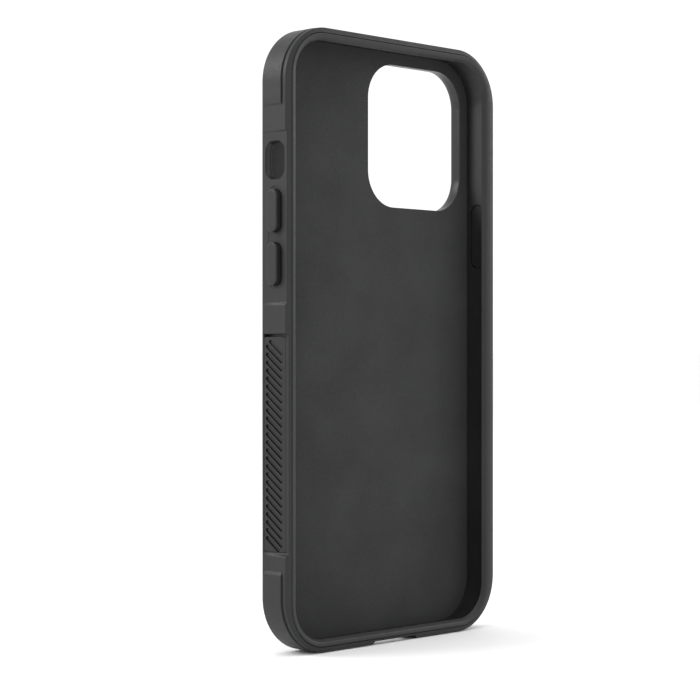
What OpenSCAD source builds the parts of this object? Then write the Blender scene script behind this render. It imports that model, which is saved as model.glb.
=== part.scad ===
// Rugged case for a 6.7-inch phone: moulded outer frame, soft inner sleeve with a screen lip,
// hard back panel, camera guard, corner pads, side grips and three travelling button caps.
// Drawn lying on its back (x across, y up the case, z towards the screen, z = 0 at the glass)
// and stood up on its bottom edge at the end.

/* [Phone] */
// Width of the phone the case fits, mm
phone_width = 78.1; // [60:0.1:100]
// Height of the phone the case fits, mm
phone_height = 160.84; // [125:0.1:200]
// Thickness of the phone the case fits, mm
phone_depth = 7.39; // [6:0.01:10]
// Corner radius of the phone pocket, mm
pocket_radius = 11.9; // [9:0.1:15]

/* [Walls] */
// Thickness of the soft sleeve on the long sides, mm
sleeve_wall = 0.5; // [0.4:0.05:0.9]
// Thickness of the outer frame on the long sides, mm
frame_wall = 1.6; // [1.3:0.05:2.2]
// Thickness of the back panel, mm
panel_thickness = 1.4; // [1:0.05:2]
// Thickness of the microfibre lining, mm
lining_thickness = 0.3; // [0.2:0.05:0.5]
// Height of the lip in front of the glass, mm
lip_height = 1.2; // [0.8:0.05:1.8]
// How far the lip reaches in over the glass on the long sides, mm
lip_reach = 2.1; // [1.5:0.1:3]

/* [Corners] */
// How much larger the frame's corner radius is than an even wall would give, mm
corner_ease = 1; // [0:0.1:1.2]
// How far the corner pads stand out from the long sides, mm
pad_rise = 0.45; // [0.3:0.05:0.7]
// Depth the corner pads are let into the frame, mm
pad_seat = 0.4; // [0.3:0.05:0.6]
// Length of each corner pad down the long side, mm
pad_length = 21.2; // [16:0.1:26]
// Frame left between each corner pad and the shock cushion behind it, mm
cushion_web = 0.2; // [0.15:0.05:0.4]

/* [Camera] */
// Width of the camera window, mm
camera_width = 38; // [30:0.5:46]
// Height of the camera window, mm
camera_height = 40; // [30:0.5:48]
// Corner radius of the camera window, mm
camera_radius = 10; // [5:0.5:14]
// How far the camera guard stands out from the back, mm
guard_rise = 2.1; // [1.5:0.1:3]

/* [Buttons] */
// Width of each button cap, mm
button_width = 3.9; // [3:0.1:4.7]
// How far the caps stand out beyond the flat of the side, mm
button_rise = 1.1; // [0.7:0.05:1.4]
// Depth of the shallow dish round the caps, mm
dish_depth = 0.3; // [0.1:0.05:0.4]
// Clearance round each cap in its hole, mm
button_clearance = 0.1; // [0.05:0.01:0.2]

/* [Grips] */
// Number of slots in each side grip
grip_slots = 26; // [18:1:32]
// Width of one grip slot, mm
slot_width = 0.95; // [0.7:0.05:1.15]
// Depth of one grip slot, mm
slot_depth = 0.35; // [0.2:0.05:0.45]

/* [Hidden] */
$fn = 64;
// Side features keep their places along the phone and through its thickness.
along = phone_height / 160.84;
through = phone_depth / 7.39;
phone_gap = 0.05;
end_gap = 0.08;
end_extra = 0.2;
end_trim = 0.1;
in_w = phone_width / 2 + phone_gap;
in_h = phone_height / 2 + end_gap;
sleeve_w = in_w + sleeve_wall;
sleeve_h = in_h + sleeve_wall + end_extra;
out_w = sleeve_w + frame_wall;
out_h = sleeve_h + frame_wall - end_trim;
r_sleeve = pocket_radius + sleeve_wall;
r_out = r_sleeve + frame_wall + corner_ease;
z_pocket = -(phone_depth + 0.11);
z_lining = z_pocket - lining_thickness;
z_frame = z_lining - 0.3;
z_panel = z_lining - panel_thickness;
z_guard = z_panel - guard_rise;
z_front = lip_height;
z_edge = lip_height * 0.7;
bevel_rise = 0.3;
bevel_run = 1.3;
lip_lean = 0.7;
panel_rim = 0.15;
panel_chamfer = z_frame - z_panel - 0.1;
panel_recess = 0.31 * frame_wall;
grip_recess = frame_wall - 0.5;
pad_front = -0.75;
pad_back = z_frame + 0.7;
pad_end = 24.5;
corner_wall = norm(corner_point(out_w, out_h, r_out) - corner_point(sleeve_w, sleeve_h, r_sleeve));
cushion_thickness = corner_wall - pad_seat - cushion_web;
cushion_front = -1.2;
cushion_back = -6.2 * through;
button_z = -3.5 * through;
flange_pocket = 0.19 * frame_wall;
flange_thickness = 0.4;
flange_side = 0.5;
flange_gap = 0.05;
flange_room = 0.15;
cap_top = out_w + button_rise;
cap_chamfer = 0.3;
up_y = 33.71 * along;
down_y = 19.78 * along;
volume_length = 11.3 * along;
power_y = 30.3 * along;
power_length = 17.2 * along;
dish_margin = 0.35;
mute_y = 46.9 * along;
mute_length = 10.25 * along;
mute_width = 7.03 * through;
mute_radius = 2.8;
button_panel = [9.3 * along, 54.25 * along];
grip_span = [-55.7 * along, 1.0 * along];
grip_front = -0.45;
grip_back = -7.5 * through;
slot_margin = 0.95;
camera_margin = 3.2;
camera_x = in_w - camera_margin - camera_width / 2;
camera_y = in_h - camera_margin - camera_height / 2;
guard_seat = 0.9;
port_size = [14, 6.2 * through];
speaker_size = [11, 3.6 * through];
speaker_x = 17;
notch_width = 17.6;
notch_rise = 0.55 * (frame_wall - end_trim);
right_strip = -0.45;

// Stands the case up: screen side to -Y, back to +Y, bottom edge on the ground.
module stand() {
  translate([0, (z_front + z_guard) / 2, out_h]) rotate([90, 0, 0]) children();
}

module left_side() {
  mirror([1, 0, 0]) children();
}

// Corner 0 is top left, 1 top right, 2 bottom left and 3 bottom right, seen from the screen side.
module at_corner(i) {
  mirror([i % 2 == 0 ? 1 : 0, 0, 0]) mirror([0, i > 1 ? 1 : 0, 0]) children();
}

module rounded(half_w, half_h, r) {
  square([2 * half_w, 2 * (half_h - r)], center = true);
  square([2 * (half_w - r), 2 * half_h], center = true);
  for (sx = [-1, 1]) {
    for (sy = [-1, 1]) {
      translate([sx * (half_w - r), sy * (half_h - r)]) circle(r);
    }
  }
}

// Middle of a rounded rectangle's corner arc.
function corner_point(half_w, half_h, r) = [half_w - r * (1 - sqrt(0.5)), half_h - r * (1 - sqrt(0.5))];

// A stadium with its long way along x.
module stadium(length, width) {
  square([length - width, width], center = true);
  for (s = [-1, 1]) {
    translate([s * (length - width) / 2, 0]) circle(width / 2);
  }
}

module slab(z0, z1) {
  translate([0, 0, z0]) linear_extrude(z1 - z0) children();
}

// Sweeps a profile (distance from the corner centre, height) once round a rounded rectangle.
module round_sweep(px, py) {
  for (half = [0, 180]) {
    rotate([0, 0, half]) {
      translate([px, py, 0]) rotate_extrude(angle = 90) children();
      translate([-px, py, 0]) rotate([0, 0, 90]) rotate_extrude(angle = 90) children();
      translate([px, py, 0]) rotate([90, 0, 0]) linear_extrude(2 * py) children();
      translate([-px, py, 0]) rotate([90, 0, 90]) linear_extrude(2 * px) children();
    }
  }
}

// A shape drawn as (along the case, through its depth), pushed out through the right wall.
module side_prism(x0, x1, y, z) {
  translate([x0, y, z]) rotate([90, 0, 90]) linear_extrude(x1 - x0) children();
}

// A profile drawn as (x, z), running from y0 to y1.
module side_run(y0, y1) {
  translate([0, y1, 0]) rotate([90, 0, 0]) linear_extrude(y1 - y0) children();
}

// The side leans in towards the screen where it is recessed: x of its face at height z.
function leaning(depth, z) = out_w - depth * (z - z_frame) / (z_edge - z_frame);

module leaning_recess(span, depth, front) {
  side_run(span[0], span[1]) {
    polygon([[leaning(depth, front), front], [out_w, z_frame], [out_w + 3, z_frame], [out_w + 3, front]]);
  }
}

module button_hole(y, length) {
  grow = 2 * button_clearance;
  side_prism(sleeve_w, out_w + 1, y, button_z) stadium(length + grow, button_width + grow);
  button_flange_room(y, length);
}

module button_flange_room(y, length) {
  grow = 2 * (flange_side + flange_room);
  side_prism(in_w - 1, sleeve_w + flange_pocket, y, button_z) stadium(length + grow, button_width + grow);
}

module button_dish(y, length) {
  floor_x = leaning(panel_recess, button_z) - dish_depth;
  side_prism(floor_x, out_w + 2, y, button_z) {
    stadium(length + 2 * dish_margin, button_width + 2 * dish_margin);
  }
}

module mute_shape(inset) {
  rounded(mute_length / 2 - inset, mute_width / 2 - inset, mute_radius - inset);
}

module bottom_openings(grow) {
  for (p = [[0, port_size], [speaker_x, speaker_size], [-speaker_x, speaker_size]]) {
    translate([p[0], -in_h + 2, button_z]) rotate([90, 0, 0]) linear_extrude(7) {
      stadium(p[1][0] + 2 * grow, p[1][1] + 2 * grow);
    }
  }
}

module bottom_notch() {
  translate([0, -out_h, 0]) slab(z_frame - 1, z_front + 1) {
    polygon([[-notch_width / 2 - 1, -1], [notch_width / 2 + 1, -1],
             [notch_width / 2 - notch_rise, notch_rise], [-notch_width / 2 + notch_rise, notch_rise]]);
  }
}

// Ground taken up by one corner pad, before it is trimmed to the frame's outline.
module pad_ground() {
  translate([out_w - 15, out_h - pad_length]) square([30, pad_length + 5]);
  translate([pad_end, out_h - 12]) square([40, 20]);
}

module corner_seat() {
  slab(pad_back, pad_front) {
    difference() {
      pad_ground();
      rounded(out_w - pad_seat, out_h - pad_seat, r_out - pad_seat);
    }
  }
}

module corner_pad() {
  color("#1f2022")
  intersection() {
    corner_seat();
    slab(pad_back, pad_front) rounded(out_w + pad_rise, out_h, r_out);
  }
}

module cushion_ground() {
  slab(cushion_back, cushion_front) {
    translate([sleeve_w - r_sleeve, sleeve_h - r_sleeve]) {
      intersection() {
        circle(r_sleeve + cushion_thickness);
        translate([1.2, 1.2]) square([30, 30]);
      }
    }
  }
}

module cushion() {
  color("#55585c")
  difference() {
    cushion_ground();
    slab(cushion_back - 1, cushion_front + 1) rounded(sleeve_w, sleeve_h, r_sleeve);
  }
}

module grip_block() {
  side_run(grip_span[0], grip_span[1]) {
    polygon([[sleeve_w, grip_front], [leaning(grip_recess, grip_front), grip_front],
             [leaning(grip_recess, grip_back), grip_back], [sleeve_w, grip_back]]);
  }
}

module frame_body() {
  slab(z_frame, z_edge) rounded(out_w, out_h, r_out);
  slab(z_edge, z_edge + bevel_rise) rounded(out_w - bevel_run, out_h - bevel_run, r_out - bevel_run);
  round_sweep(out_w - r_out, out_h - r_out) {
    polygon([[r_out - bevel_run - 0.2, z_edge], [r_out, z_edge],
             [r_out - bevel_run, z_edge + bevel_rise], [r_out - bevel_run - 0.2, z_edge + bevel_rise]]);
  }
}

module outer_frame() {
  color("#232426")
  difference() {
    frame_body();
    slab(z_frame - 1, z_front + 1) rounded(sleeve_w, sleeve_h, r_sleeve);
    for (i = [0:3]) {
      at_corner(i) corner_seat();
      at_corner(i) cushion_ground();
    }
    for (span = [[button_panel, panel_recess], [grip_span, grip_recess]]) {
      leaning_recess(span[0], span[1], right_strip);
      left_side() leaning_recess(span[0], span[1], z_front + 1);
    }
    grip_block();
    left_side() grip_block();
    button_hole(power_y, power_length);
    button_dish(power_y, power_length);
    left_side() {
      button_hole(up_y, volume_length);
      button_hole(down_y, volume_length);
      button_dish((up_y + down_y) / 2, up_y - down_y + volume_length);
      side_prism(sleeve_w - 1, out_w + 2, mute_y, button_z) mute_shape(0);
    }
    bottom_openings(0);
    bottom_notch();
  }
}

module inner_sleeve() {
  r_lip = pocket_radius - lip_reach + 0.5;
  lip_w = in_w - lip_reach;
  lip_h = in_h - lip_reach + 0.9;
  color("#2b2c2e")
  difference() {
    union() {
      slab(z_lining, z_edge) rounded(sleeve_w, sleeve_h, r_sleeve);
      slab(z_edge, z_front) rounded(sleeve_w - sleeve_wall - 0.05, sleeve_h, r_sleeve);
    }
    slab(z_lining - 1, 0) rounded(in_w, in_h, pocket_radius);
    slab(-0.5, z_front + 1) rounded(lip_w, lip_h, r_lip);
    round_sweep(lip_w - r_lip, lip_h - r_lip) {
      polygon([[r_lip - 0.4, 0.1], [r_lip, 0.1], [r_lip + lip_lean, z_front],
               [r_lip + lip_lean, z_front + 1], [r_lip - 0.4, z_front + 1]]);
    }
    button_flange_room(power_y, power_length);
    left_side() {
      button_flange_room(up_y, volume_length);
      button_flange_room(down_y, volume_length);
      side_prism(in_w - 3, out_w + 2, mute_y, button_z) mute_shape(0.35);
    }
    bottom_openings(0.3);
  }
}

module camera_shape(grow) {
  translate([camera_x, camera_y]) {
    rounded(camera_width / 2 + grow, camera_height / 2 + grow, camera_radius + grow);
  }
}

module back_panel() {
  rim_w = out_w - panel_rim;
  rim_h = out_h - panel_rim;
  rim_r = r_out - panel_rim;
  flat = rim_r - panel_chamfer;
  color("#1d1e20")
  difference() {
    union() {
      slab(z_frame, z_lining) rounded(sleeve_w, sleeve_h, r_sleeve);
      slab(z_panel + panel_chamfer, z_frame) rounded(rim_w, rim_h, rim_r);
      slab(z_panel, z_panel + panel_chamfer) rounded(rim_w - panel_chamfer, rim_h - panel_chamfer, flat);
      round_sweep(out_w - r_out, out_h - r_out) {
        polygon([[flat - 0.2, z_panel], [flat, z_panel], [rim_r, z_panel + panel_chamfer],
                 [flat - 0.2, z_panel + panel_chamfer]]);
      }
    }
    slab(z_panel - 1, z_lining + 1) camera_shape(guard_seat);
  }
}

module camera_guard() {
  color("#2f3033")
  difference() {
    union() {
      slab(z_panel, z_lining) camera_shape(guard_seat);
      slab(z_guard + 0.6, z_panel) camera_shape(2.4);
      slab(z_guard, z_guard + 0.6) camera_shape(1.8);
    }
    slab(z_guard - 1, z_lining + 1) camera_shape(0);
  }
}

module back_lining() {
  color("#3a3b3e")
  slab(z_lining, z_pocket) {
    difference() {
      rounded(in_w, in_h, pocket_radius);
      camera_shape(0);
    }
  }
}

// The slots run from the back edge down towards the screen, square to the leaning face.
module grip_pad() {
  lean = atan(grip_recess / (z_edge - z_frame));
  slot_z = (grip_front + grip_back) / 2;
  slot_length = (grip_front - grip_back - 2 * slot_margin) / cos(36);
  first = grip_span[0] + 2.6 * along;
  pitch = (grip_span[1] - grip_span[0] - 5.2 * along) / (grip_slots - 1);
  color("#262729")
  difference() {
    grip_block();
    for (i = [0:grip_slots - 1]) {
      translate([leaning(grip_recess, slot_z), first + i * pitch, slot_z]) {
        rotate([0, -lean, 0]) rotate([90, 0, 90]) slab(-slot_depth, 1) {
          rotate(126) stadium(slot_length - (i == 0 || i == grip_slots - 1 ? 1.6 : 0), slot_width);
        }
      }
    }
  }
}

module button(y, length) {
  flange_x = sleeve_w + flange_pocket - flange_gap;
  color("#2a2b2d") {
    side_prism(flange_x - flange_thickness, flange_x, y, button_z) {
      stadium(length + 2 * flange_side, button_width + 2 * flange_side);
    }
    side_prism(flange_x, cap_top - cap_chamfer, y, button_z) stadium(length, button_width);
    side_prism(cap_top - cap_chamfer, cap_top, y, button_z) {
      stadium(length - 2 * cap_chamfer, button_width - 2 * cap_chamfer);
    }
  }
}

stand() outer_frame();
stand() inner_sleeve();
stand() back_panel();
stand() camera_guard();
stand() back_lining();
stand() left_side() grip_pad();  // grip_left
stand() grip_pad();  // grip_right
stand() at_corner(0) corner_pad();  // corner_pad_top_left
stand() at_corner(1) corner_pad();  // corner_pad_top_right
stand() at_corner(2) corner_pad();  // corner_pad_bottom_left
stand() at_corner(3) corner_pad();  // corner_pad_bottom_right
stand() at_corner(0) cushion();  // cushion_top_left
stand() at_corner(1) cushion();  // cushion_top_right
stand() at_corner(2) cushion();  // cushion_bottom_left
stand() at_corner(3) cushion();  // cushion_bottom_right
stand() left_side() button(up_y, volume_length);  // volume_up_button
stand() left_side() button(down_y, volume_length);  // volume_down_button
stand() button(power_y, power_length);  // power_button
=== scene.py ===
import math

import bmesh
import bpy
import numpy as np
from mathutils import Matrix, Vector

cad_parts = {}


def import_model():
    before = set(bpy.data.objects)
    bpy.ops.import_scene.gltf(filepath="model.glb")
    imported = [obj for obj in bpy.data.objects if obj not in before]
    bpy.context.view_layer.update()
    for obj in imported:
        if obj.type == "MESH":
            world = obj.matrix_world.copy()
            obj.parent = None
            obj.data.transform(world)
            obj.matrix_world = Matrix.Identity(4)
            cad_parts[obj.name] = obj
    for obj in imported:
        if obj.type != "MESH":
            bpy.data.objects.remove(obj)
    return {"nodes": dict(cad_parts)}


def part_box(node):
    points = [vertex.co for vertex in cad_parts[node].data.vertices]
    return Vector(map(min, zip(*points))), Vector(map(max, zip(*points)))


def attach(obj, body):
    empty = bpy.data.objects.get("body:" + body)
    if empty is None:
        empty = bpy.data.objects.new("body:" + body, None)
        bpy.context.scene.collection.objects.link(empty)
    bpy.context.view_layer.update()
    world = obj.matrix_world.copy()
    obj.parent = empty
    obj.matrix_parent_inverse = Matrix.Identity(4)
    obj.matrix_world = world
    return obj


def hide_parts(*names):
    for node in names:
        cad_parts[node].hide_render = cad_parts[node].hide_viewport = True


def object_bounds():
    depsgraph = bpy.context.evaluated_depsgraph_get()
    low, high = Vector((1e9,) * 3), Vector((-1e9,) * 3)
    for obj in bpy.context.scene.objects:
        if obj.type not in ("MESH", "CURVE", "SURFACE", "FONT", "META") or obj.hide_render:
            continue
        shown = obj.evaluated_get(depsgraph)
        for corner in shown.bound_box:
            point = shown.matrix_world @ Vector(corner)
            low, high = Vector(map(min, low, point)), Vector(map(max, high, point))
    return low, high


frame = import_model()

# Case coordinates are millimetres: x across, u up from mid-height, d out of the glass towards the viewer.
MM = 0.001
LIP = 1.2
cad_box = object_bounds()
frame_lo, frame_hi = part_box("outer_frame")
sleeve_lo, sleeve_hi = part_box("inner_sleeve")
GLASS_Y = sleeve_lo[1] + LIP * MM
MID_Z = (frame_lo[2] + frame_hi[2]) / 2
OUT_W = (frame_hi[0] - frame_lo[0]) / 2 / MM
OUT_H = (frame_hi[2] - frame_lo[2]) / 2 / MM
SLEEVE_W = (sleeve_hi[0] - sleeve_lo[0]) / 2 / MM
SLEEVE_H = (sleeve_hi[2] - sleeve_lo[2]) / 2 / MM

# Outline of the frame and of the sleeve in it
R_OUT = 15.0
R_SLEEVE = 12.4
RUN_U = OUT_H - R_OUT
RUN_X = OUT_W - R_OUT
SEAM_W, SEAM_H, R_SEAM = 39.15, 81.28, 12.0

# Depths of the layers
EDGE_D = 0.84
BEVEL_TOP = 1.12
STRIP_D = -0.45
LINING_BACK = -7.8
FRAME_BACK = -8.1
PANEL_BACK = -9.2
GUARD_BACK = -11.3

# Long sides: the button panel and the grip stand back towards the screen
PANEL_DEPTH = 0.496
GRIP_DEPTH = 1.1
PANEL_ENDS = ((8.9, 9.8), (54.2, 54.6))
GRIP_ENDS = ((-56.7, -55.6), (1.42, 1.6))
GRIP_LOW, GRIP_HIGH, GRIP_POCKET_TOP = -55.55, 0.75, 1.45
GRIP_FRONTS, GRIP_BACK = {-1: -0.15, 1: -0.5}, -7.5
GRIP_LEAN = math.atan(GRIP_DEPTH / (EDGE_D - FRAME_BACK))
SLOTS, SLOT_PITCH, SLOT_TOP_U, SLOT_D = 26, 2.09, -1.63, -3.97
SLOT_LENGTH, SLOT_WIDTH, SLOT_DEPTH, SLOT_TURN = 7.05, 0.95, 0.42, math.radians(39)
SLOT_CROP = 1.3
GRIP_GAP = 0.06

# Corner pads
PAD_RISE = 0.45
PAD_SEAT = 0.4
PAD_FRONT, PAD_BACK = -0.5, -7.4
PAD_END_X = 24.5
PAD_ROUND = 0.28
PAD_GAP = 0.02
# Height and length of the ramp at the end on the side, for the bottom and the top pads
PAD_STARTS = {-1: (60.4, 1.2), 1: (61.2, 0.5)}

# Keys, ring-switch opening, ports and camera window
BUTTON_D = -3.5
BUTTON_WIDTH = 3.9
BUTTON_RISE = 1.1
KEY_CROWN = 0.32
KEY_GAP = 0.1
FLANGE_SIDE, FLANGE_THICK, FLANGE_INSET = 0.5, 0.4, 0.146
FLANGE_ROOM, FLANGE_POCKET = 0.65, 0.304
DISH_MARGIN = 0.4
DISH_LEAN = 1.03
DISH_RISE = 0.06
KEYS = {"volume_up": (-1, 33.71, 11.3), "volume_down": (-1, 19.78, 11.3), "power": (1, 30.3, 17.2)}
DISHES = ((-1, 26.745, 26.9), (1, 30.3, 18.8))
MUTE_U = 46.9
MUTE_IN_FRAME = (10.05, 6.8, 2.7)
MUTE_IN_SLEEVE = (9.5, 6.33, 2.45)
PORTS = ((0, 14, 6.2), (17, 11, 3.6), (-17, 11, 3.6))
PORT_INNER_U, PORT_FLARE = 78.5, 0.25
NOTCH_HALF, NOTCH_RISE = 8.8, 0.82
CAM_X, CAM_U, CAM_HALF_W, CAM_HALF_H, CAM_R = 16.9, 57.3, 19.0, 20.0, 10.0
GUARD_SEAT = 0.9

# Section of the sleeve's lip, from its outer wall over the top and down to the glass:
# half width, half height and depth of each level
LIP_SECTION = (
    (39.07, 81.18, 0.06), (39.07, 81.18, 1.06), (39.03, 81.14, 1.14), (38.95, 81.06, 1.19),
    (38.85, 80.97, LIP), (38.5, 80.66, 1.17), (38.1, 80.31, 1.1), (37.85, 80.1, 1.04),
    (37.7, 79.97, 0.96), (37.58, 79.87, 0.82), (37.0, 79.3, 0.12), (36.97, 79.27, 0.04),
    (37.05, 79.35, 0.0), (39.1, 80.5, 0.0), (39.1, 80.5, LINING_BACK))
LIP_RUN_X = 27.2

CORNERS = {"top_left": (-1, 1), "top_right": (1, 1), "bottom_left": (-1, -1), "bottom_right": (1, -1)}


# ---------- meshes ----------

def world(points):
    """Case coordinates to the frame's metres."""
    p = np.asarray(points, float).reshape(-1, 3)
    return np.stack([p[:, 0] * MM, GLASS_Y - p[:, 2] * MM, MID_Z + p[:, 1] * MM], axis=1)


def new_object(name, points, faces, material=None):
    mesh = bpy.data.meshes.new(name)
    mesh.from_pydata(world(points).tolist(), [], faces)
    bm = bmesh.new()
    bm.from_mesh(mesh)
    bmesh.ops.recalc_face_normals(bm, faces=bm.faces)
    if bm.calc_volume(signed=True) < 0:
        bmesh.ops.reverse_faces(bm, faces=bm.faces)
    bm.to_mesh(mesh)
    bm.free()
    obj = bpy.data.objects.new(name, mesh)
    bpy.context.scene.collection.objects.link(obj)
    if material:
        mesh.materials.append(material)
    return obj


def smooth(obj, angle):
    """Rounds the shading between faces that meet at less than angle degrees."""
    obj.data.shade_smooth()
    obj.data.set_sharp_from_angle(angle=math.radians(angle))
    mod = obj.modifiers.new("normals", "WEIGHTED_NORMAL")
    mod.keep_sharp = True
    mod.weight = 100


def cut(obj, *cutters):
    """Subtracts each closed cutter from obj for good."""
    for tool in cutters:
        mod = obj.modifiers.new("cut", "BOOLEAN")
        mod.operation = "DIFFERENCE"
        mod.solver = "MANIFOLD"
        mod.object = tool
        bpy.context.view_layer.update()
        done = bpy.data.meshes.new_from_object(obj.evaluated_get(bpy.context.evaluated_depsgraph_get()))
        obj.modifiers.remove(mod)
        old, obj.data = obj.data, done
        bpy.data.meshes.remove(old)
        bpy.data.objects.remove(tool)


def ring_mesh(name, rows, material=None, closed=True, caps=False):
    """Joins rows of points, each all round an outline, into one closed skin."""
    n = len(rows[0])
    faces = []
    for j in range(len(rows) if closed else len(rows) - 1):
        a, b = j * n, ((j + 1) % len(rows)) * n
        faces += [(a + i, a + (i + 1) % n, b + (i + 1) % n, b + i) for i in range(n)]
    if caps:
        faces += [tuple(range(n)), tuple(range((len(rows) - 1) * n, len(rows) * n))[::-1]]
    return new_object(name, np.concatenate(rows), faces, material)


def quarter_round(size, steps=5):
    """(inset, drop) pairs over an edge of that radius, from the face above to the face beside."""
    a = np.radians(np.linspace(0, 90, steps + 1))
    return [(size * (1 - math.sin(t)), size * (1 - math.cos(t))) for t in a]


# ---------- outlines of the whole case ----------

def ramp(u, ends):
    t = np.clip((u - ends[0]) / (ends[1] - ends[0]), 0, 1)
    return t * t * (3 - 2 * t)


def side_recess(u):
    """How far a long side stands back at its front edge, at height u."""
    panel = ramp(u, PANEL_ENDS[0]) * (1 - ramp(u, PANEL_ENDS[1]))
    grip = ramp(u, GRIP_ENDS[0]) * (1 - ramp(u, GRIP_ENDS[1]))
    return PANEL_DEPTH * panel + GRIP_DEPTH * grip


def side_heights():
    coarse = np.linspace(-RUN_U, RUN_U, 35)
    fine = [np.linspace(a - 0.25, b + 0.25, 14) for a, b in PANEL_ENDS + GRIP_ENDS]
    keep = [-RUN_U]
    for value in np.sort(np.concatenate([coarse, *fine])):
        if value - keep[-1] > 0.02:
            keep.append(value)
    return np.array(keep)


SIDE_U = side_heights()
RECESS = side_recess(SIDE_U)
END_X = np.linspace(-RUN_X, RUN_X, 13)
ARC = np.linspace(0, 90, 29)[1:-1]


def lean(d):
    """Share of the recess reached at depth d: none at the frame's back, all of it at the front edge."""
    return (d - FRAME_BACK) / (EDGE_D - FRAME_BACK)


def outline(hw, hh, r, right=0.0, left=0.0):
    """Points round a rounded rectangle, anticlockwise from the lower right, in the same columns for every
    size. right and left are the shares of the recess taken off the long sides."""
    cu, cx = hh - r, hw - r
    su = SIDE_U * (cu / RUN_U)
    sx = END_X * (cx / RUN_X)
    runs = {0: (sx[::-1], np.full_like(sx, hh)), 1: (-hw + left * RECESS[::-1], su[::-1]),
            2: (sx, np.full_like(sx, -hh))}
    out = [np.stack([hw - right * RECESS, su], 1)]
    for quarter in range(4):
        a = np.radians(ARC + 90 * quarter)
        ox = cx if quarter in (0, 3) else -cx
        ou = cu if quarter < 2 else -cu
        out.append(np.stack([ox + r * np.cos(a), ou + r * np.sin(a)], 1))
        if quarter in runs:
            out.append(np.stack(runs[quarter], 1))
    return np.concatenate(out)


def at_depth(points, d):
    return np.column_stack([points, np.broadcast_to(d, len(points))])


def level_loop(hw, hh, r, d):
    return at_depth(outline(hw, hh, r), d)


# ---------- local shapes ----------

def rounded_rect(length, width, r, steps=10):
    """Corner by corner, leaving out points that fall on the one before."""
    pts = []
    for q, (sx, sy) in enumerate(((1, 1), (-1, 1), (-1, -1), (1, -1))):
        for a in np.radians(np.linspace(0, 90, steps + 1) + 90 * q):
            p = (sx * (length / 2 - r) + r * math.cos(a), sy * (width / 2 - r) + r * math.sin(a))
            if not pts or math.dist(p, pts[-1]) > 1e-4:
                pts.append(p)
    if math.dist(pts[0], pts[-1]) < 1e-4:
        pts.pop()
    return np.array(pts)


def loft(name, length, width, r, levels, place, material=None, steps=10):
    """A closed solid of one rounded rectangle, grown by each level's amount, at each level's height.
    place turns (along, across, height) into case coordinates."""
    rows = []
    for grow, height in levels:
        shape = rounded_rect(length + 2 * grow, width + 2 * grow, max(r + grow, 0.02), steps)
        rows.append(place(shape[:, 0], shape[:, 1], np.full(len(shape), height)))
    return ring_mesh(name, rows, material, closed=False, caps=True)


def stadium(name, length, width, levels, place, material=None, steps=10):
    return loft(name, length, width, width / 2 - 0.01, levels, place, material, steps)


def on_side(side, u, d):
    """Along the case, through its depth, and outwards from its centre."""
    return lambda a, b, h: np.stack([side * h, u + a, d + b], 1)


def on_leaning_side(side, u, d, depth, turn=0.0):
    """As on_side, with heights from the leaning face; nothing goes below the sleeve's own face."""
    angle = math.atan(depth / (EDGE_D - FRAME_BACK))
    face = OUT_W - depth * lean(d)

    def place(a, b, h):
        along = a * math.cos(turn) - b * math.sin(turn)
        across = a * math.sin(turn) + b * math.cos(turn)
        x = face - across * math.sin(angle) + h * math.cos(angle)
        return np.stack([side * np.maximum(x, SLEEVE_W + 0.01), u + along,
                         d + across * math.cos(angle) + h * math.sin(angle)], 1)
    return place


def on_bottom(x, d):
    return lambda a, b, h: np.stack([x + a, -h, d + b], 1)


def on_back(x, u):
    return lambda a, b, h: np.stack([x + a, u + b, -h], 1)


def flared(inner, surface, flare):
    """Levels of a cutter that is straight up to the surface and opens just under and above it."""
    return [(0, inner), (0, surface - flare), (0.4 * flare, surface - 0.3 * flare),
            (flare + 0.05, surface + 0.05), (flare + 0.05, surface + 2)]


# ---------- materials ----------

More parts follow.
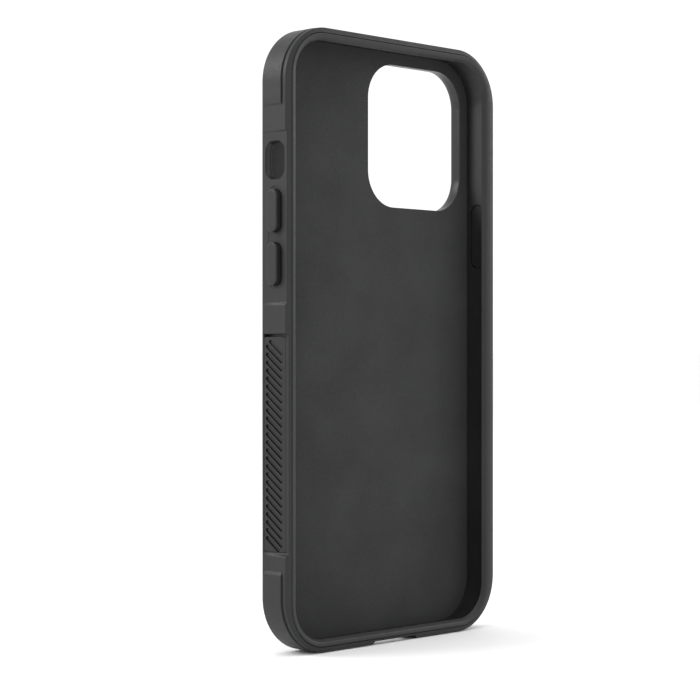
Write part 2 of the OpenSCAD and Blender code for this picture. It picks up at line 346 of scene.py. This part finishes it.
def moulded(name, colour, rough, grain_mm=0.11, depth=0.2, mottle=0.25, specular=0.3, sheen=0.0):
    """Black moulded plastic or rubber: spark-eroded grain, soft flow mottling and uneven gloss."""
    m = bpy.data.materials.new(name)
    m.use_nodes = True
    nodes, links = m.node_tree.nodes, m.node_tree.links
    shader = nodes["Principled BSDF"]
    shader.inputs["Specular IOR Level"].default_value = specular
    if sheen:
        shader.inputs["Sheen Weight"].default_value = sheen
        shader.inputs["Sheen Roughness"].default_value = 0.45
    coord = nodes.new("ShaderNodeTexCoord")

    def noise(size_mm, detail):
        node = nodes.new("ShaderNodeTexNoise")
        node.inputs["Scale"].default_value = 1 / (size_mm * MM)
        node.inputs["Detail"].default_value = detail
        node.inputs["Roughness"].default_value = 0.55
        links.new(coord.outputs["Object"], node.inputs["Vector"])
        return node.outputs["Fac"]

    def spread(source, low, high):
        node = nodes.new("ShaderNodeMapRange")
        for socket, value in (("From Min", 0.3), ("From Max", 0.7), ("To Min", low), ("To Max", high)):
            node.inputs[socket].default_value = value
        links.new(source, node.inputs["Value"])
        return node.outputs["Result"]

    grain = noise(3 * grain_mm, 3)
    flow = noise(18, 4)
    wear = noise(1.1, 2)
    mix = nodes.new("ShaderNodeMix")
    mix.data_type = "FLOAT"
    mix.inputs["Factor"].default_value = 0.45
    links.new(flow, mix.inputs["A"])
    links.new(grain, mix.inputs["B"])
    tones = nodes.new("ShaderNodeValToRGB")
    for element, place, share in zip(tones.color_ramp.elements, (0.3, 0.72), (1 - mottle, 1 + mottle)):
        element.position = place
        element.color = (*[c * share for c in colour], 1)
    links.new(mix.outputs["Result"], tones.inputs["Fac"])
    links.new(tones.outputs["Color"], shader.inputs["Base Color"])
    links.new(spread(wear, rough - 0.05, rough + 0.07), shader.inputs["Roughness"])
    bump = nodes.new("ShaderNodeBump")
    bump.inputs["Strength"].default_value = depth
    bump.inputs["Distance"].default_value = 0.02 * MM
    links.new(grain, bump.inputs["Height"])
    links.new(bump.outputs["Normal"], shader.inputs["Normal"])
    return m


CASE_BLACK = (0.0125, 0.0127, 0.0130)
FRAME_MAT = moulded("frame_plastic", CASE_BLACK, 0.46)
SLEEVE_MAT = moulded("sleeve_rubber", CASE_BLACK, 0.43, grain_mm=0.14, specular=0.35)
PAD_MAT = moulded("pad_rubber", CASE_BLACK, 0.45, grain_mm=0.13)
GRIP_MAT = moulded("grip_rubber", CASE_BLACK, 0.48, grain_mm=0.17, depth=0.35)
KEY_MAT = moulded("key_rubber", CASE_BLACK, 0.44, grain_mm=0.12)
# Near black and dull: painted shade on the grip's slot walls, standing in for the shadow deep in the slots
SLOT_SHADE_MAT = moulded("grip_slot_painted_shade", (0.004, 0.0041, 0.0042), 0.75, grain_mm=0.17, specular=0.05)
PANEL_MAT = moulded("panel_plastic", (0.0120, 0.0122, 0.0127), 0.5, grain_mm=0.2, depth=0.5)
GUARD_MAT = moulded("guard_plastic", (0.0130, 0.0132, 0.0137), 0.33, grain_mm=0.1, depth=0.15)
CUSHION_MAT = moulded("cushion_foam", (0.08, 0.081, 0.085), 0.8, grain_mm=0.4, depth=1.0)
LINING_MAT = moulded("lining_microfibre", (0.022, 0.0223, 0.0235), 0.9, grain_mm=0.16, depth=0.9,
                     mottle=0.35, specular=0.15, sheen=0.3)


# ---------- openings shared by several pieces ----------

def port_cutters(grow):
    levels = flared(PORT_INNER_U, OUT_H, PORT_FLARE)
    return [stadium("port", length + 2 * grow, width + 2 * grow, levels, on_bottom(x, BUTTON_D))
            for x, length, width in PORTS]


def key_cutter(name, side, u, length, grow, levels):
    return stadium(name, length + 2 * grow, BUTTON_WIDTH + 2 * grow, levels, on_side(side, u, BUTTON_D))


def notch_cutter():
    """The dip in the bottom edge, which runs through the frame from front to back."""
    flat = [(-NOTCH_HALF - 1, -OUT_H - 1), (NOTCH_HALF + 1, -OUT_H - 1),
            (NOTCH_HALF - NOTCH_RISE, -OUT_H + NOTCH_RISE), (NOTCH_RISE - NOTCH_HALF, -OUT_H + NOTCH_RISE)]
    points = [(x, u, d) for d in (FRAME_BACK - 0.5, BEVEL_TOP + 1) for x, u in flat]
    faces = [(0, 1, 2, 3), (7, 6, 5, 4)] + [(i, (i + 1) % 4, 4 + (i + 1) % 4, 4 + i) for i in range(4)]
    return new_object("notch", points, faces)


def box_cutter(x0, x1, u0, u1, d0, d1):
    points = [(x, u, d) for x in (x0, x1) for u in (u0, u1) for d in (d0, d1)]
    faces = [(0, 1, 3, 2), (4, 6, 7, 5), (0, 4, 5, 1), (2, 3, 7, 6), (0, 2, 6, 4), (1, 5, 7, 3)]
    return new_object("box", points, faces)


# ---------- corner pads ----------

def pad_columns(sx, su):
    """Columns of one corner pad, up the side, round the corner and along the end: outer point, inner
    point, way out, and how proud the pad stands there, from 1 to 0."""
    start, slope = PAD_STARTS[su]
    cols = []
    for rise, drop in ((0, 1), (0.1, 0.94), (0.3, 0.72), (0.5, 0.5), (0.75, 0.22), (1, 0)):
        u = start + rise * slope
        cols.append(((OUT_W + PAD_RISE * (1 - drop), u), (OUT_W - PAD_SEAT, u), (1, 0), 1))
    for u in (start + 3, start + 5.2):
        cols.append(((OUT_W + PAD_RISE, u), (OUT_W - PAD_SEAT, u), (1, 0), 1))
    seat_r = R_OUT - PAD_SEAT
    for a in np.radians(np.linspace(0, 90, 31)):
        c, s = math.cos(a), math.sin(a)
        outer = (RUN_X + PAD_RISE + R_OUT * c, RUN_U + R_OUT * s)
        cols.append((outer, (RUN_X + seat_r * c, RUN_U + seat_r * s), (c, s), c))
    for back, drop in ((1.5, 0), (0.25, 0), (0.06, 0.08), (0, 0.25)):
        x = PAD_END_X + back
        cols.append(((x, OUT_H - drop), (x, OUT_H - PAD_SEAT), (0, 1), 0))
    return [(*((sx * p[0], su * p[1]) for p in col[:3]), col[3]) for col in cols]


def swept(name, cols, material=None):
    """A closed solid from columns of points in case coordinates."""
    m = len(cols[0])
    faces = [(i * m + j, i * m + (j + 1) % m, (i + 1) * m + (j + 1) % m, (i + 1) * m + j)
             for i in range(len(cols) - 1) for j in range(m)]
    faces += [tuple(range(m)), tuple(range((len(cols) - 1) * m, len(cols) * m))]
    return new_object(name, [p for col in cols for p in col], faces, material)


def corner_pad(where, sx, su):
    edge = quarter_round(PAD_ROUND, 4)
    profile = [(w, PAD_FRONT - drop) for w, drop in edge] + [(0, -2.5), (0, -5.0)]
    profile += [(w, PAD_BACK + drop) for w, drop in reversed(edge)]
    cols = []
    for outer, inner, normal, proud in pad_columns(sx, su):
        share = 0.15 + 0.85 * proud
        skin = [(outer[0] - normal[0] * w * share, outer[1] - normal[1] * w * share, d) for w, d in profile]
        cols.append([(*inner, PAD_FRONT)] + skin + [(*inner, PAD_BACK)])
    pad = swept("pad_" + where, cols, PAD_MAT)
    smooth(pad, 40)
    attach(pad, "case")
    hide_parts("corner_pad_" + where)


def seat_cutter(sx, su):
    """The pocket that a corner pad sits in, a hair larger than the pad."""
    pads = pad_columns(sx, su)
    cols = []
    for k, (_, inner, normal, _) in enumerate(pads):
        x = inner[0] - (PAD_GAP * sx if k == len(pads) - 1 else 0)
        u = inner[1] - (PAD_GAP * su if k == 0 else 0)
        far = (x + 3 * normal[0], u + 3 * normal[1])
        front, back = PAD_FRONT + PAD_GAP, PAD_BACK - PAD_GAP
        cols.append([(x, u, front), (x, u, back), (*far, back), (*far, front)])
    return swept("seat", cols)


# ---------- shells ----------

def frame_rows():
    """The frame's section, carried round the case: seam, bevel, front edge, side, back and inner face."""
    plain = outline(OUT_W, OUT_H, R_OUT)
    edge = outline(OUT_W, OUT_H, R_OUT, left=1)
    seam = outline(SEAM_W, SEAM_H, R_SEAM)
    inner = outline(SLEEVE_W + 0.02, SLEEVE_H + 0.02, R_SLEEVE)
    span = seam - edge
    width = np.linalg.norm(span, axis=1)
    inward = span / width[:, None]
    slope = (BEVEL_TOP - EDGE_D) / (OUT_W - SEAM_W)
    edge_d = EDGE_D + slope * np.linalg.norm(edge - plain, axis=1)

    def on_bevel(inset, drop=0.0):
        w = np.broadcast_to(inset, len(edge))
        return at_depth(edge + inward * w[:, None], edge_d + (w / width) * (BEVEL_TOP - edge_d) - drop)

    front_round, seam_round = 0.2, 0.1
    rows = [at_depth(seam, 0.1), at_depth(seam, 0.98),
            on_bevel(width - 0.03, 0.07), on_bevel(width - seam_round)]
    rows += [on_bevel(front_round + (width - seam_round - front_round) * k) for k in (0.75, 0.5, 0.25)]
    rows += [on_bevel(inset, drop) for inset, drop in quarter_round(front_round, 6)]
    # The strip at the front of the right side is upright; behind it that side leans
    for d, strip in ((0.3, True), (STRIP_D, True), (STRIP_D - 0.03, False),
                     (-2.5, False), (-5.0, False), (-7.7, False)):
        rows.append(at_depth(outline(OUT_W, OUT_H, R_OUT, 0 if strip else lean(d), lean(d)), d))
    for inset, drop in reversed(quarter_round(0.22, 3)):
        rows.append(level_loop(OUT_W - inset, OUT_H - inset, R_OUT - inset, FRAME_BACK + drop))
    return rows + [at_depth(inner, FRAME_BACK), at_depth(inner, 0.1)]


def outer_frame():
    body = ring_mesh("frame_shell", frame_rows(), FRAME_MAT)
    for sx, su in CORNERS.values():
        cut(body, seat_cutter(sx, su))
    for side in (1, -1):
        near, far = sorted((side * (SLEEVE_W - 0.5), side * (OUT_W + 2)))
        cut(body, box_cutter(near, far, GRIP_LOW, GRIP_POCKET_TOP, GRIP_BACK, GRIP_FRONTS[side]))
    for side, u, length in DISHES:
        levels = [(-0.1, DISH_RISE), (-0.03, DISH_RISE + 0.03), (0, DISH_RISE + 0.1), (0, 3)]
        place = on_leaning_side(side, u, BUTTON_D, DISH_LEAN)
        cut(body, stadium("dish", length, BUTTON_WIDTH + 2 * DISH_MARGIN, levels, place, steps=14))
    for side, u, length in KEYS.values():
        hole = [(0, SLEEVE_W - 1), (0, OUT_W + 2)]
        room = [(0, SLEEVE_W - 1), (0, SLEEVE_W + FLANGE_POCKET)]
        cut(body, key_cutter("hole", side, u, length, KEY_GAP, hole),
            key_cutter("room", side, u, length, FLANGE_ROOM, room))
    mute_x = OUT_W - PANEL_DEPTH * lean(BUTTON_D)
    mute = flared(SLEEVE_W - 1, mute_x, 0.15)
    cut(body, loft("mute", *MUTE_IN_FRAME, mute, on_side(-1, MUTE_U, BUTTON_D + 0.1)))
    cut(body, notch_cutter(), *port_cutters(0))
    smooth(body, 38)
    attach(body, "case")
    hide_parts("outer_frame")


def inner_sleeve():
    """The soft sleeve, whose lip leans in over the edge of the glass."""
    rows = [level_loop(SLEEVE_W, SLEEVE_H, R_SLEEVE, d) for d in (LINING_BACK, 0.02)]
    rows += [level_loop(w, h, w - LIP_RUN_X, d) for w, h, d in LIP_SECTION]
    body = ring_mesh("soft_sleeve", rows, SLEEVE_MAT)
    mute = [(0, SLEEVE_W - 3), (0, SLEEVE_W - 0.15), (0.15, SLEEVE_W + 0.05), (0.15, SLEEVE_W + 2)]
    cut(body, loft("mute", *MUTE_IN_SLEEVE, mute, on_side(-1, MUTE_U, BUTTON_D)))
    for side, u, length in KEYS.values():
        room = [(0, SLEEVE_W - 3), (0, SLEEVE_W + 2)]
        cut(body, key_cutter("room", side, u, length, FLANGE_ROOM, room))
    cut(body, *port_cutters(0.3))
    smooth(body, 42)
    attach(body, "case")
    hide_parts("inner_sleeve")


def back_panel():
    rim, chamfer = 0.15, 1.0
    hidden = (SLEEVE_W - 0.05, SLEEVE_H - 0.05, R_SLEEVE - 0.05)
    rows = [level_loop(*hidden, LINING_BACK), level_loop(*hidden, FRAME_BACK)]
    section = [(rim + 0.08, FRAME_BACK), (rim, FRAME_BACK - 0.06), (rim + 0.02, FRAME_BACK - 0.14)]
    section += [(rim + chamfer * k, PANEL_BACK + chamfer * (1 - k)) for k in (0.1, 0.5, 0.85)]
    section += [(rim + chamfer + 0.05, PANEL_BACK + 0.03), (rim + chamfer + 0.25, PANEL_BACK),
                (3.0, PANEL_BACK)]
    rows += [level_loop(OUT_W - inset, OUT_H - inset, R_OUT - inset, d) for inset, d in section]
    body = ring_mesh("back_shell", rows, PANEL_MAT, closed=False, caps=True)
    window = loft("window", 2 * CAM_HALF_W + 2 * GUARD_SEAT, 2 * CAM_HALF_H + 2 * GUARD_SEAT,
                  CAM_R + GUARD_SEAT, [(0, 5), (0, 15)], on_back(CAM_X, CAM_U), steps=16)
    cut(body, window)
    smooth(body, 30)
    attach(body, "case")
    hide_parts("back_panel")


def camera_guard():
    def loop(grow, d):
        shape = rounded_rect(2 * (CAM_HALF_W + grow), 2 * (CAM_HALF_H + grow), CAM_R + grow, 20)
        return np.column_stack([CAM_X + shape[:, 0], CAM_U + shape[:, 1], np.full(len(shape), d)])

    rows = [loop(0.88, LINING_BACK), loop(0.88, PANEL_BACK), loop(2.38, PANEL_BACK - 0.01),
            loop(2.36, PANEL_BACK - 0.1), loop(2.3, PANEL_BACK - 0.35)]
    rows += [loop(2.2 - inset, GUARD_BACK + drop) for inset, drop in reversed(quarter_round(0.7, 6))]
    inner_edge = ((0.75, 0), (0.5, 0.06), (0.3, 0.3), (0.1, 1.2), (0, 1.9))
    rows += [loop(grow, GUARD_BACK + drop) for grow, drop in inner_edge]
    rows.append(loop(0, LINING_BACK))
    body = ring_mesh("camera_rim", rows, GUARD_MAT)
    smooth(body, 35)
    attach(body, "case")
    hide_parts("camera_guard")


def grip(name, side, node):
    """A strip flush with the leaning side, with slanted slots cut square to its face."""
    centre_u, centre_d = (GRIP_LOW + GRIP_HIGH) / 2, (GRIP_FRONTS[side] + GRIP_BACK) / 2
    length = GRIP_HIGH - GRIP_LOW - 2 * GRIP_GAP
    width = (GRIP_FRONTS[side] - GRIP_BACK) / math.cos(GRIP_LEAN) - 2 * GRIP_GAP
    face = [(0, -3), (0, -0.1), (-0.03, -0.04), (-0.1, 0)]
    middle = on_leaning_side(side, centre_u, centre_d, GRIP_DEPTH)
    body = loft(name, length, width, 0.5, face, middle, GRIP_MAT, steps=4)
    slot = [(0, -SLOT_DEPTH), (0, -0.06), (0.07, 0.02), (0.07, 1)]
    for k in range(SLOTS):
        cropped = SLOT_CROP if k in (0, SLOTS - 1) else 0
        shift = cropped / 2 * (1 if k else -1)
        place = on_leaning_side(side, SLOT_TOP_U - SLOT_PITCH * k + shift * math.sin(SLOT_TURN),
                                SLOT_D - shift * math.cos(SLOT_TURN), GRIP_DEPTH, math.pi / 2 + SLOT_TURN)
        cut(body, stadium("slot", SLOT_LENGTH - cropped, SLOT_WIDTH, slot, place, SLOT_SHADE_MAT, steps=6))
    # The floors of the slots are as pale as the face; only the slot walls keep the near-black painted shade
    for face in body.data.polygons:
        if abs(face.normal.x) > 0.7:
            face.material_index = 0
    smooth(body, 30)
    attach(body, "case")
    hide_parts(node)


def key(name, side, u, length):
    """A key cap with a soft crown, and the flange that holds it in behind the frame."""
    base, top = SLEEVE_W - FLANGE_INSET, OUT_W + BUTTON_RISE
    crown = quarter_round(KEY_CROWN, 7)
    levels = [(FLANGE_SIDE, base), (FLANGE_SIDE, base + FLANGE_THICK),
              (0, base + FLANGE_THICK), (0, top - KEY_CROWN)]
    levels += [(-inset, top - drop) for inset, drop in reversed(crown)][1:]
    levels.append((-1.2, top))
    place = on_side(side, u, BUTTON_D)
    body = stadium(name + "_cap", length, BUTTON_WIDTH, levels, place, KEY_MAT, steps=14)
    smooth(body, 35)
    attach(body, name)
    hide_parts(name + "_button")


outer_frame()
inner_sleeve()
back_panel()
camera_guard()
for where, (sx, su) in CORNERS.items():
    corner_pad(where, sx, su)
grip("grip_field_left", -1, "grip_left")
grip("grip_field_right", 1, "grip_right")
for name, (side, u, length) in KEYS.items():
    key(name, side, u, length)
kept_nodes = {"back_lining": LINING_MAT, **{"cushion_" + where: CUSHION_MAT for where in CORNERS}}
for node, material in kept_nodes.items():
    materials = frame["nodes"][node].data.materials
    materials.clear()
    materials.append(material)


# ---------- stage, lights and camera ----------

def paper(name, value):
    m = bpy.data.materials.new(name)
    m.use_nodes = True
    shader = m.node_tree.nodes["Principled BSDF"]
    shader.inputs["Base Color"].default_value = (value, value, value, 1)
    shader.inputs["Roughness"].default_value = 0.8
    return m


def area_light(name, place, width, height, power):
    """A soft light that looks at the middle of the case."""
    data = bpy.data.lights.new(name, "AREA")
    data.energy = power
    data.shape = "RECTANGLE"
    data.size = width
    data.size_y = height
    obj = bpy.data.objects.new(name, data)
    bpy.context.scene.collection.objects.link(obj)
    obj.location = place
    obj.rotation_euler = (Vector((0, 0, MID_Z)) - Vector(place)).to_track_quat("-Z", "Y").to_euler()


FLOOR_HALF, FLOOR_GAP, FLOOR_TONE = 30.0, 0.0002, 0.92
WORLD_STRENGTH = 1.08
floor_mesh = bpy.data.meshes.new("floor")
floor_mesh.from_pydata([(x * FLOOR_HALF, y * FLOOR_HALF, 0) for x, y in ((-1, -1), (1, -1), (1, 1), (-1, 1))],
                       [], [(0, 1, 2, 3)])
floor = bpy.data.objects.new("floor", floor_mesh)
bpy.context.scene.collection.objects.link(floor)
floor.location.z = cad_box[0][2] - FLOOR_GAP
floor_mesh.materials.append(paper("floor_paper", FLOOR_TONE))

studio = bpy.data.worlds.new("studio")
bpy.context.scene.world = studio
studio.use_nodes = True
studio.node_tree.nodes["Background"].inputs["Color"].default_value = (1, 1, 1, 1)
studio.node_tree.nodes["Background"].inputs["Strength"].default_value = WORLD_STRENGTH
bpy.context.scene.view_settings.view_transform = "Standard"

area_light("left_softbox", (-0.8, 0.6, 0.7), 0.6, 0.6, 7.5)
area_light("right_softbox", (0.9, -0.45, 0.45), 0.5, 0.5, 1.8)
area_light("top_softbox", (-0.2, -0.1, 1.0), 1.0, 1.0, 3)

LENS_MM, SENSOR_MM = 97.9, 36
CAMERA_LEFT, CAMERA_BEFORE_GLASS, CAMERA_DROP = 378.5, 361.8, 2.7
camera_data = bpy.data.cameras.new("camera")
camera_data.sensor_width = SENSOR_MM
camera_data.lens = LENS_MM
camera_data.clip_start = 0.01
camera = bpy.data.objects.new("camera", camera_data)
bpy.context.scene.collection.objects.link(camera)
camera.location = (-CAMERA_LEFT * MM, GLASS_Y - CAMERA_BEFORE_GLASS * MM, MID_Z - CAMERA_DROP * MM)
camera.rotation_euler = (math.radians(90), 0, math.radians(-45))
bpy.context.scene.camera = camera

bpy.context.view_layer.update()
